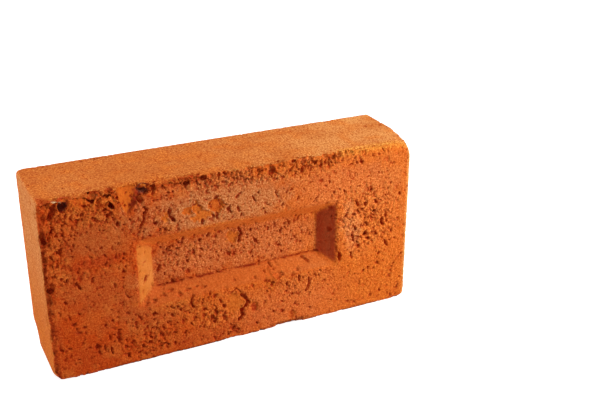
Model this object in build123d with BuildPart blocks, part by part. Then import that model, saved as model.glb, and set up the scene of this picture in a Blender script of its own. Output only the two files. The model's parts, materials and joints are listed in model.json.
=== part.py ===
"""Hand-moulded fired clay brick with a frog, worn and chipped along its arrises.

The brick stands on one long narrow side, a stretcher face, as it is stored.
X runs along its length, Z up, and the bed face with the frog looks towards -Y.
The origin is the middle of the face that it stands on. All sizes are in millimetres.
"""

import os
from math import cos, degrees, pi, sin, sqrt

from build123d import *

# Overall size of the brick, standing on its stretcher face.
length = 250.0
height = 120.0
thickness = 60.0

# Wear of the four arrises that run from bed to bed, as seen from the frog's side.
upper_left_round = 3.5
upper_right_round = 9.0
lower_left_round = 5.5
lower_right_round = 5.0

# Wear around the bed with the frog and around the plain bed.
frog_bed_round = 3.0
plain_bed_round = 2.5

# The frog: the sunk panel that a raised block on the mould's floor leaves in the bed.
lip_length = 138.0
lip_width = 44.0
floor_length = 116.0
floor_width = 29.0
frog_depth = 10.0
frog_rise = 2.0
lip_corner = 3.0
floor_corner = 2.5
lip_round = 1.6
floor_round = 1.2

# The wedge that is broken out of the upper arris near the left end.
wedge_from_left = 51.0
wedge_drop = 17.0
wedge_depth = 6.0
wedge_mouth = 18.0
wedge_lean = 2.0

# Shell-shaped spalls, each as (distance along the arris, chord, depth below the worn arris).
upper_spalls = [
    (7.0, 9.0, 1.6),
    (15.5, 9.0, 2.8),
    (24.0, 9.0, 1.4),
    (32.0, 8.0, 2.0),
    (41.0, 8.0, 1.6),
    (62.5, 7.0, 2.8),
    (70.0, 7.0, 1.6),
    (79.0, 10.0, 1.1),
    (89.0, 8.0, 1.8),
    (101.0, 12.0, 1.5),
    (113.0, 9.0, 1.3),
    (123.0, 9.0, 1.1),
    (136.0, 10.0, 1.6),
    (147.0, 9.0, 1.8),
    (158.0, 9.0, 1.0),
    (169.0, 9.0, 1.2),
    (178.0, 7.0, 1.4),
    (190.0, 9.0, 1.4),
]
lower_spalls = [
    (118.0, 15.0, 1.0),
    (158.0, 30.0, 2.4),
]
left_spalls = [
    (12.0, 10.0, 0.7),
    (30.0, 12.0, 0.8),
    (47.0, 8.0, 0.9),
    (59.0, 9.0, 1.4),
    (76.0, 10.0, 1.0),
    (88.0, 9.0, 1.4),
    (98.0, 11.0, 1.8),
    (109.0, 9.0, 1.6),
]

# Chips are five-sided, and their sides lean out this far in degrees.
chip_sides = 5
chip_taper = 45.0

# Chips in the bed, each as (from the left end, above the foot, chord, depth).
bed_chips = [
    (8.5, 112.0, 5.0, 1.4),
    (10.0, 86.5, 4.5, 1.4),
    (14.5, 36.0, 7.0, 0.9),
    (8.0, 21.5, 6.0, 1.0),
    (28.0, 17.0, 5.0, 1.3),
    (44.5, 109.0, 5.0, 1.5),
    (43.0, 22.0, 6.0, 1.2),
    (47.0, 8.0, 6.0, 1.0),
    (60.0, 14.0, 8.0, 1.0),
    (65.0, 32.0, 5.0, 1.3),
    (69.5, 92.5, 5.0, 1.4),
    (76.5, 97.0, 7.0, 1.0),
    (78.0, 26.0, 5.0, 1.1),
    (94.0, 98.5, 11.0, 1.2),
    (108.5, 98.5, 10.0, 1.5),
    (118.0, 93.0, 6.0, 1.2),
    (105.5, 20.0, 8.0, 1.2),
    (111.0, 30.0, 7.0, 1.0),
    (119.0, 26.5, 12.0, 1.2),
    (133.0, 19.5, 7.0, 1.0),
    (145.0, 36.0, 8.0, 1.2),
    (138.0, 99.0, 5.0, 1.0),
    (168.0, 110.0, 4.5, 1.3),
    (161.0, 22.5, 6.0, 1.0),
    (161.5, 8.0, 6.0, 0.9),
    (182.0, 34.0, 4.5, 1.0),
    (220.0, 89.0, 4.5, 1.3),
    (234.0, 45.0, 5.0, 1.2),
    (227.0, 33.0, 4.5, 1.1),
    (212.5, 109.5, 4.5, 1.2),
]

# Chips in the frog's floor, each as (from the left end, above the foot, chord, depth).
floor_chips = [
    (83.0, 70.0, 6.0, 1.2),
    (98.5, 67.0, 7.0, 0.9),
    (121.0, 58.0, 5.0, 0.9),
    (123.5, 69.5, 8.0, 1.1),
    (139.0, 62.0, 5.0, 1.1),
    (159.0, 66.0, 7.0, 1.0),
    (175.0, 61.0, 6.0, 0.9),
]

# Broken ground right of the frog: chips packed side by side, spreading from its middle.
broken_from_left = 217.0
broken_above_foot = 66.0
broken_chips = 19
broken_spacing = 4.2
broken_chord = 7.4
broken_depth = 1.3

# Crevices in the bed, each as (width, depth, then its places from the left end and above the foot).
crevices = [
    (1.4, 1.6, (63.3, 105.5), (62.3, 98.0), (59.7, 92.5)),
    (1.9, 1.8, (78.3, 100.5), (78.6, 96.5), (81.2, 93.5)),
    (1.5, 1.5, (91.5, 38.5), (89.3, 33.5), (91.3, 30.0)),
    (2.2, 2.4, (125.5, 29.5), (129.5, 24.5), (124.0, 19.0), (125.3, 16.0), (122.3, 13.5)),
    (1.4, 1.3, (173.5, 32.0), (173.5, 27.0), (171.5, 23.0)),
]

left_end = -length / 2
frog_face = -thickness / 2
frog_middle = height / 2 + frog_rise
worn_depth = frog_bed_round * (sqrt(2) - 1)
golden_angle = pi * (3 - sqrt(5))

# Plane of the bed with the frog, with its origin at the foot of the brick.
bed = Plane(origin=(0, frog_face, 0), x_dir=(1, 0, 0), z_dir=(0, -1, 0))
frog_floor = bed.offset(-frog_depth)


def lies_at(y):
    """Test for faces whose middle is on the plane of this Y."""
    return lambda face: abs(face.center().Y - y) < 0.01


def spall(arris_point, outward, chord, depth):
    """Ball that bites a shell-shaped spall out of an arris."""
    ball = (chord**2 / 4 + depth**2) / (2 * depth)
    centre = Vector(arris_point) + Vector(outward).normalized() * (ball - depth - worn_depth)
    with Locations(centre):
        Sphere(ball, mode=Mode.SUBTRACT)


def chip(plane, from_left, from_foot, chord, depth):
    """Flat-floored chip with broken sides, sunk into a plane that looks towards -Y."""
    with BuildSketch(plane) as outline:
        with Locations((left_end + from_left, from_foot)):
            RegularPolygon(chord / 2, chip_sides, rotation=degrees(from_left + from_foot))
    extrude(outline.sketch, amount=-depth, taper=chip_taper, mode=Mode.SUBTRACT)


with BuildPart() as brick:
    # The body: the outline of the bed, worn round at its corners, carried through the thickness.
    with BuildSketch(bed):
        with BuildLine():
            FilletPolyline(
                (-length / 2, 0),
                (length / 2, 0),
                (length / 2, height),
                (-length / 2, height),
                radius=[lower_left_round, lower_right_round, upper_right_round, upper_left_round],
                close=True,
            )
        make_face()
    extrude(amount=-thickness)
    fillet(brick.faces().sort_by(Axis.Y)[0].edges(), radius=frog_bed_round)
    fillet(brick.faces().sort_by(Axis.Y)[-1].edges(), radius=plain_bed_round)

    # The frog: a loft from lip to floor, because its ends lean out further than its sides.
    with BuildSketch(bed) as lip:
        with Locations((0, frog_middle)):
            RectangleRounded(lip_length, lip_width, lip_corner)
    with BuildSketch(frog_floor) as floor:
        with Locations((0, frog_middle)):
            RectangleRounded(floor_length, floor_width, floor_corner)
    loft([lip.sketch, floor.sketch], mode=Mode.SUBTRACT)
    fillet(brick.faces().filter_by(lies_at(frog_floor.origin.Y))[0].edges(), radius=floor_round)
    fillet(brick.faces().filter_by(lies_at(frog_face))[0].inner_wires()[0].edges(), radius=lip_round)

    # The wedge: a V that starts at a point on the bed and deepens up to the arris.
    wedge_line = Vector(wedge_lean, wedge_depth, wedge_drop)
    wedge_plane = Plane(
        origin=(left_end + wedge_from_left, frog_face, height - wedge_drop),
        x_dir=(wedge_drop, 0, -wedge_lean),
        z_dir=wedge_line,
    )
    wedge_reach = wedge_depth + frog_bed_round
    wedge_flare = wedge_mouth / 2 / wedge_depth
    with BuildSketch(wedge_plane):
        with BuildLine():
            Polyline(
                (0, 0),
                (wedge_flare * wedge_reach, -wedge_reach),
                (-wedge_flare * wedge_reach, -wedge_reach),
                close=True,
            )
        make_face()
    extrude(amount=wedge_line.length + wedge_depth, mode=Mode.SUBTRACT)

    # The spalls along the upper, lower and left arrises of the bed with the frog.
    for from_left, chord, depth in upper_spalls:
        spall((left_end + from_left, frog_face, height), (0, -1, 1), chord, depth)
    for from_left, chord, depth in lower_spalls:
        spall((left_end + from_left, frog_face, 0), (0, -1, -1), chord, depth)
    for from_foot, chord, depth in left_spalls:
        spall((left_end, frog_face, from_foot), (-1, -1, 0), chord, depth)

    # The chips in the bed and in the frog's floor, and the broken ground right of the frog.
    for from_left, from_foot, chord, depth in bed_chips:
        chip(bed, from_left, from_foot, chord, depth)
    for from_left, from_foot, chord, depth in floor_chips:
        chip(frog_floor, from_left, from_foot, chord, depth)
    for number in range(broken_chips):
        spread = broken_spacing * sqrt(number)
        from_left = broken_from_left + spread * cos(number * golden_angle)
        from_foot = broken_above_foot + spread * sin(number * golden_angle)
        chip(bed, from_left, from_foot, broken_chord, broken_depth)

    # The crevices, each traced along its line and cut straight in.
    for width, depth, *path in crevices:
        with BuildSketch(bed):
            with BuildLine() as crack:
                Polyline(*((left_end + from_left, from_foot) for from_left, from_foot in path))
            trace(line_width=width)
        extrude(amount=-depth, mode=Mode.SUBTRACT)

brick.part.label = "brick"
os.makedirs("parts", exist_ok=True)
export_step(brick.part, "parts/brick.step")
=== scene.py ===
"""An aged, hand-moulded fired clay brick with a frog, standing on its stretcher face."""

import json
from itertools import product
from math import cos, hypot, pi, radians, sin

import bmesh
import bpy
import numpy as np
from mathutils import Euler, Matrix, Vector

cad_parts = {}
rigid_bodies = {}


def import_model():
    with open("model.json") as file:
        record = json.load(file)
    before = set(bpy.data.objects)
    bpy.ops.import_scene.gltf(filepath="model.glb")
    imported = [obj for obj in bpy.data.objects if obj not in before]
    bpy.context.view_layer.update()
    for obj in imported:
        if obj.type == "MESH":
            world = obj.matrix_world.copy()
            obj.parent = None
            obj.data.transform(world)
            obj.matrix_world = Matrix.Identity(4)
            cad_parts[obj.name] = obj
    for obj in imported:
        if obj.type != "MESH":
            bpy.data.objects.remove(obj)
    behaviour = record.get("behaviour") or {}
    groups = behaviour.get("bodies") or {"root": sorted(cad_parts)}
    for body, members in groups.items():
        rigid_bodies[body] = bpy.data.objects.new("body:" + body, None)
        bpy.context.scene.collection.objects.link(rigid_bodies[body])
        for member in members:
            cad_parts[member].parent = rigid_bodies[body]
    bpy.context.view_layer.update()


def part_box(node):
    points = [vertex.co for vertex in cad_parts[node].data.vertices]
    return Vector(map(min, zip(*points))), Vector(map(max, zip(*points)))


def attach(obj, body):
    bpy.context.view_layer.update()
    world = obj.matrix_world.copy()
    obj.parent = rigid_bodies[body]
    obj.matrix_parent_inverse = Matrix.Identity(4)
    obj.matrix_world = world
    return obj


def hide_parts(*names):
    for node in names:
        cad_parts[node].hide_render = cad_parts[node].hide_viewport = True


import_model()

# The block of clay: thrown by hand into a sanded wooden mould, struck off level and turned out.
# Its arrises are rounded by handling and weather. A raised block on the mould's floor leaves the
# frog, a sunk panel with leaning walls, in the bed that looks towards -Y.
low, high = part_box("brick")
size = high - low
upper_left_round = 0.0016
upper_right_round = 0.0016
lower_left_round = 0.0035
lower_right_round = 0.0036
frog_bed_round = 0.0013
plain_bed_round = 0.0016
lip_size = Vector((0.1396, 1, 0.0475))
floor_size = Vector((0.1143, 1, 0.030))
frog_depth = 0.010
frog_centre = Vector((0.0014, low.y, 0.0612))
floor_shift = Vector((0.0008, 0, -0.0002))
lip_end_round = 0.0008
lip_side_round = 0.0034
panel_corner_round = 0.0030
worn_corner_round = 0.0038
floor_round = 0.0010
hair = 1e-6

bpy.ops.object.select_all(action="DESELECT")
bpy.ops.mesh.primitive_cube_add(size=1, location=(low + high) / 2)
brick = bpy.context.object
brick.name = "fired_brick"
bpy.ops.transform.resize(value=size)
bpy.ops.object.transform_apply(location=True, rotation=True, scale=True)
bpy.ops.object.mode_set(mode="EDIT")


def pick(faces=None, edges=None):
    """Selects only the faces, or the edges, that pass the test."""
    bpy.ops.mesh.select_mode(type="FACE" if faces else "EDGE")
    bpy.ops.mesh.select_all(action="DESELECT")
    mesh = bmesh.from_edit_mesh(brick.data)
    for part in mesh.faces if faces else mesh.edges:
        part.select_set((faces or edges)(part))
    bmesh.update_edit_mesh(brick.data)


def round_off(edges, radius, segments=5):
    """Rounds the edges that pass the test."""
    pick(edges=edges)
    bpy.ops.mesh.bevel(offset=radius, segments=segments, affect="EDGES", clamp_overlap=False)


def runs_from_bed_to_bed(right, up):
    """Test for the arris from bed to bed at one corner of the outline."""

    def test(edge):
        a, b = (corner.co for corner in edge.verts)
        middle = (a + b) / 2
        goes_through = abs(a.y - b.y) > size.y / 2
        return goes_through and (middle.x > 0) == right and (middle.z > size.z / 2) == up

    return test


def runs_down_the_panel(worn):
    """Test for the edges from the frog's lip to its floor: the lower left one, or the others."""

    def test(edge):
        a, b = (corner.co for corner in edge.verts)
        middle = (a + b) / 2
        lower_left = middle.x < frog_centre.x and middle.z < frog_centre.z
        return abs(abs(a.y - b.y) - frog_depth) < hair and lower_left == worn

    return test


def outlines_bed(place):
    """Test for the edges around the bed at this Y."""
    return lambda edge: all(abs(v.co.y - place) < hair for v in edge.verts) and any(
        abs(f.normal.y) < 0.1 for f in edge.link_faces
    )


def outlines_panel(place, along):
    """Test for the frog's edges at this Y: those along the brick, or those across it."""

    def test(edge):
        a, b = (corner.co for corner in edge.verts)
        level = abs(a.y - place) < hair and abs(b.y - place) < hair
        walls = any(0.1 < abs(f.normal.y) < 0.95 for f in edge.link_faces)
        return level and walls and (abs(a.x - b.x) > abs(a.z - b.z)) == along

    return test


border = 0.02
pick(faces=lambda face: face.normal.y < -0.99)
bpy.ops.mesh.inset(thickness=border)
inner = Vector((size.x - 2 * border, 1, size.z - 2 * border))
bpy.ops.transform.resize(
    value=(lip_size.x / inner.x, 1, lip_size.z / inner.z), center_override=(0, low.y, size.z / 2)
)
bpy.ops.transform.translate(value=(0, 0, frog_centre.z - size.z / 2))
bpy.ops.mesh.extrude_region_move(TRANSFORM_OT_translate={"value": (0, frog_depth, 0)})
bpy.ops.transform.resize(
    value=(floor_size.x / lip_size.x, 1, floor_size.z / lip_size.z), center_override=frog_centre
)
bpy.ops.transform.translate(value=floor_shift)
round_off(runs_down_the_panel(worn=False), panel_corner_round)
round_off(runs_down_the_panel(worn=True), worn_corner_round)
round_off(outlines_panel(low.y, along=True), lip_side_round)
round_off(outlines_panel(low.y, along=False), lip_end_round)
round_off(outlines_panel(low.y + frog_depth, along=True), floor_round)
for right, up, radius in (
    (False, True, upper_left_round),
    (True, True, upper_right_round),
    (False, False, lower_left_round),
    (True, False, lower_right_round),
):
    round_off(runs_from_bed_to_bed(right, up), radius)
round_off(outlines_bed(low.y), frog_bed_round)
round_off(outlines_bed(high.y), plain_bed_round)
bpy.ops.object.mode_set(mode="OBJECT")

# Deep bites out of the arrises: clay that broke away round a stone or under a knock. Each is
# (from the left end, behind the bed, above the foot, across, along, deep, lean), in millimetres.
# The lean is in degrees, and above 0 where a bite leans to the right.
bites = (
    (15.4, -0.5, 115.6, 5.8, 8.6, 9, 16), (62.9, -0.2, 117.4, 4.6, 8, 10, -50),
    (66.5, -0.5, 119.5, 6.5, 2.2, 4, -5), (31.8, -1, 117.6, 4.4, 5.4, 6, 10),
    (41.5, -0.6, 118.4, 3.4, 4.4, 5, 40), (8.2, -0.4, 111.5, 3.4, 12.5, 5, 28),
    (3, -0.2, 110, 2.6, 8, 4, 8), (33, -0.6, 118.2, 4.6, 3.6, 5, 30),
    (59.6, -0.2, 112.6, 3.6, 8, 4, -38), (30.6, -0.4, 115.6, 4.6, 3.2, 4.4, 60),
    (40.5, -0.6, 117.8, 2.8, 6.4, 4.4, -48), (44.4, -0.4, 113.6, 2.6, 5.6, 3.6, -30),
    (43, -0.2, 110.4, 3.2, 4.2, 5, -25), (45.2, 4.6, 120.4, 5.4, 3, 5, 0),
    (9.6, -0.2, 98.2, 2, 5, 3.4, 24), (4.2, -0.2, 92.5, 4.4, 4, 3, 0), (143, 0, 0, 4, 2.6, 3, 0),
    (69.6, -0.4, 118.6, 7, 1.8, 3.4, 80), (69.4, -0.8, 118.2, 2.2, 6.5, 4, 5),
    (87.6, -0.7, 118.5, 2.2, 5, 3.6, 0), (90.2, -0.8, 116.6, 3.2, 5, 4.4, 12),
    (101.5, -0.8, 118.5, 4.6, 4.4, 3.8, 60), (111.2, -0.7, 118.6, 2, 5.5, 3.4, 8),
    (137.8, -0.9, 116.2, 4, 3.8, 4, 50), (146.6, -1.2, 115.4, 5.4, 6.2, 5.4, 30),
    (177.6, -0.9, 115.2, 2.6, 4.4, 4, 18), (191.2, -0.7, 117.4, 2.2, 5.5, 3.4, 5),
    (2, 1, 97, 3, 12, 5, -4), (1.6, 0.6, 62.5, 3.2, 6, 4.4, 35), (1.8, 0.8, 55, 3.6, 3.4, 4, -60),
    (118, 0, -0.6, 15, 3.2, 6, 0), (158.5, 0, -2.4, 31, 9, 9, 0), (78, -0.4, -0.4, 12, 2.6, 4, 0),
    (9.5, -0.6, -0.6, 13, 3.4, 5, 0),
)


def place(from_left, behind, above):
    """A point on the brick, in millimetres off its left end, its frogged bed and its foot."""
    return low + Vector((from_left, behind, above)) / 1000


random = np.random.default_rng(18)
smallest_nibble = 1.0
off_the_line = 0.9
nibble_lean = 25
nibble_lean_spread = 25


def nibbles(number, start, end, largest):
    """Small bites at random along a line from place to place, most of them small."""
    found = []
    for _ in range(number):
        share = random.random()
        middle = [
            a + (b - a) * share + random.uniform(-off_the_line, off_the_line)
            for a, b in zip(start, end)
        ]
        across = smallest_nibble + (largest - smallest_nibble) * random.random() ** 2
        along = across * random.uniform(1.1, 2.4)
        deep = across * 1.1
        lean = random.normal(nibble_lean, nibble_lean_spread)
        found.append((*middle, across, along, deep, lean))
    return found


# Nibbles along the upper, the left and the lower arris of the bed with the frog.
bites += (
    *nibbles(44, (2, 0.0, 119.2), (112, 0.0, 119.2), 3.6),
    *nibbles(26, (2, -0.4, 115.5), (48, -0.4, 115.5), 3.0),
    *nibbles(56, (100, 0.0, 119.2), (206, 0.0, 119.2), 3.4),
    *nibbles(24, (110, -0.4, 115.5), (200, -0.4, 115.5), 2.4),
    *nibbles(7, (200, -0.2, 119.3), (244, -0.2, 117.5), 1.6),
    *nibbles(60, (0.8, 0.2, 6), (0.8, 0.2, 117), 3.6),
    *nibbles(26, (4.5, -0.3, 60), (4.5, -0.3, 117), 2.4),
    *nibbles(30, (10, 0.0, 0.4), (150, 0.0, 0.4), 2.6),
)

# Each bite is a ball one millimetre across, drawn out to its size and made ragged.
half_a_millimetre = 0.0005
ragged_by = 0.0004
bpy.ops.object.select_all(action="DESELECT")
for from_left, behind, above, across, along, deep, lean in bites:
    middle = place(from_left, behind, above)
    bpy.ops.mesh.primitive_ico_sphere_add(
        subdivisions=2, radius=half_a_millimetre, location=middle
    )
    bpy.ops.transform.resize(value=(across, deep, along))
    bpy.ops.transform.rotate(value=radians(-lean), orient_axis="Y", center_override=middle)
    bite = bpy.context.object
    bpy.ops.object.transform_apply(location=True, rotation=True, scale=True)
    bite["bite"] = True


def select_bites():
    """Selects every bite, and nothing else."""
    bpy.ops.object.select_all(action="DESELECT")
    for piece in bpy.context.scene.objects:
        if "bite" in piece:
            piece.select_set(True)


select_bites()
bpy.context.view_layer.objects.active = bite
bpy.ops.object.mode_set(mode="EDIT")
bpy.ops.mesh.select_all(action="SELECT")
bpy.ops.transform.vertex_random(offset=ragged_by, uniform=0.4, normal=0.6, seed=18)
bpy.ops.object.mode_set(mode="OBJECT")

# The wedge near the left end: a hollow ramp of fresh clay, broken out from a point on the bed up to
# the upper side. It is cut with a leaning cone, whose sizes across and deep are in millimetres.
wedge_top = place(56.6, -1.0, 122)
wedge_foot = place(51.6, -0.3, 100.8)
wedge_across = 21.0
wedge_deep = 15.0
wedge_tall = wedge_top.z - wedge_foot.z
bpy.ops.object.select_all(action="DESELECT")
bpy.ops.mesh.primitive_cone_add(
    vertices=32,
    radius1=half_a_millimetre,
    depth=wedge_tall,
    location=wedge_top - Vector((0, 0, wedge_tall / 2)),
    rotation=(pi, 0, 0),
)
wedge = bpy.context.object
bpy.ops.transform.resize(value=(wedge_across, wedge_deep, 1))
bpy.ops.object.transform_apply(location=True, rotation=True, scale=True)
lean_of_wedge = wedge_foot - wedge_top
bpy.ops.object.mode_set(mode="EDIT")
bpy.ops.mesh.select_all(action="DESELECT")
mesh = bmesh.from_edit_mesh(wedge.data)
for corner in mesh.verts:
    corner.select_set(abs(corner.co.z - wedge_foot.z) < hair)
bmesh.update_edit_mesh(wedge.data)
bpy.ops.transform.translate(value=(lean_of_wedge.x, lean_of_wedge.y, 0))
bpy.ops.mesh.select_all(action="SELECT")
bpy.ops.mesh.normals_make_consistent(inside=False)
bpy.ops.object.mode_set(mode="OBJECT")

# The bites and the wedge become one body. It and the block get an even, fine mesh, and then the
# one is cut out of the other.
select_bites()
wedge.select_set(True)
bpy.context.view_layer.objects.active = wedge
bpy.ops.object.join()
grain = 0.0005


def even_out(body):
    """Gives a body an even, fine mesh all over."""
    bpy.context.view_layer.objects.active = body
    even = body.modifiers.new("even", "REMESH")
    even.mode = "VOXEL"
    even.voxel_size = grain
    bpy.ops.object.modifier_apply(modifier=even.name)


even_out(wedge)
even_out(brick)
broken = brick.modifiers.new("broken", "BOOLEAN")
broken.operation = "DIFFERENCE"
broken.object = wedge
broken.solver = "MANIFOLD"
bpy.ops.object.modifier_apply(modifier=broken.name)
bpy.data.objects.remove(wedge)
even_out(brick)

# The skin: sandy where the mould's sand still sticks, pitted where grit and burnt-out straw left
# holes, crumbled along the arrises. Places are in millimetres from the left end, behind the bed
# with the frog and above the foot, and so is how far the skin is hollowed.
count = len(brick.data.vertices)
skin = np.empty(count * 3, np.float32)
brick.data.vertices.foreach_get("co", skin)
skin = skin.reshape(-1, 3).astype(float)
outward = np.empty(count * 3, np.float32)
brick.data.vertex_normals.foreach_get("vector", outward)
outward = outward.reshape(-1, 3).astype(float)
places = (skin - np.array(low)) * 1000
from_left, behind, above = places.T
long_mm, deep_mm, tall_mm = size * 1000


def mottle(across, seed, along=None, lean=0.0):
    """Smooth random values from -1 to 1, in patches this far across and along, that can lean."""
    primes = np.array((73856093, 19349663, 83492791))
    seed_prime = 2654435761
    stirring_prime = 1274126177
    half_the_values = 32767.5
    turn = radians(lean)
    u = from_left * cos(turn) - above * sin(turn)
    w = from_left * sin(turn) + above * cos(turn)
    cells = np.stack([u / across, behind / across, w / (along or across)], axis=1)
    corner = np.floor(cells).astype(np.int64)
    share = cells - corner
    share = share * share * (3 - 2 * share)
    total = np.zeros(count)
    for step in product((0, 1), repeat=3):
        key = (corner + step) @ primes + seed * seed_prime
        key = (key ^ (key >> 13)) * stirring_prime
        value = ((key ^ (key >> 16)) & 0xFFFF) / half_the_values - 1
        total += value * np.prod(np.where(step, share, 1 - share), axis=1)
    return total


def side(u, v, facing):
    """The points that face one way, their places on that side, and how squarely they face."""
    least, blend = 0.2, 0.4
    seen = np.flatnonzero(facing > least)
    return seen, u[seen], v[seen], np.clip((facing[seen] - least) / blend, 0, 1)


bed = side(from_left, above, -outward[:, 1])
plain_bed = side(from_left, above, outward[:, 1])
upper = side(from_left, behind, outward[:, 2])
under = side(from_left, behind, -outward[:, 2])
left_end = side(behind, above, -outward[:, 0])
right_end = side(behind, above, outward[:, 0])

ragged = 0.6 * mottle(1.6, 1) + 0.4 * mottle(0.8, 2)
hollow = np.zeros(count)


def press(facing, spots):
    """Sinks ragged pits into one side. Each is (u, v, across, along, lean, depth)."""
    rim, rim_ragged, rim_width = 1.10, 0.60, 0.32
    seen, u, v, squarely = facing
    for middle_u, middle_v, across, along, lean, depth in spots:
        reach = max(across, along) * 0.9
        near = np.flatnonzero((abs(u - middle_u) < reach) & (abs(v - middle_v) < reach))
        du, dv = u[near] - middle_u, v[near] - middle_v
        turn = radians(lean)
        over = (du * cos(turn) - dv * sin(turn)) / across
        up = (du * sin(turn) + dv * cos(turn)) / along
        radius = np.hypot(over, up) * 2
        inside = np.clip((rim - radius - rim_ragged * ragged[seen[near]]) / rim_width, 0, 1)
        sunk = depth * inside * inside * (3 - 2 * inside) * squarely[near]
        hollow[seen[near]] = np.maximum(hollow[seen[near]], sunk)


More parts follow.
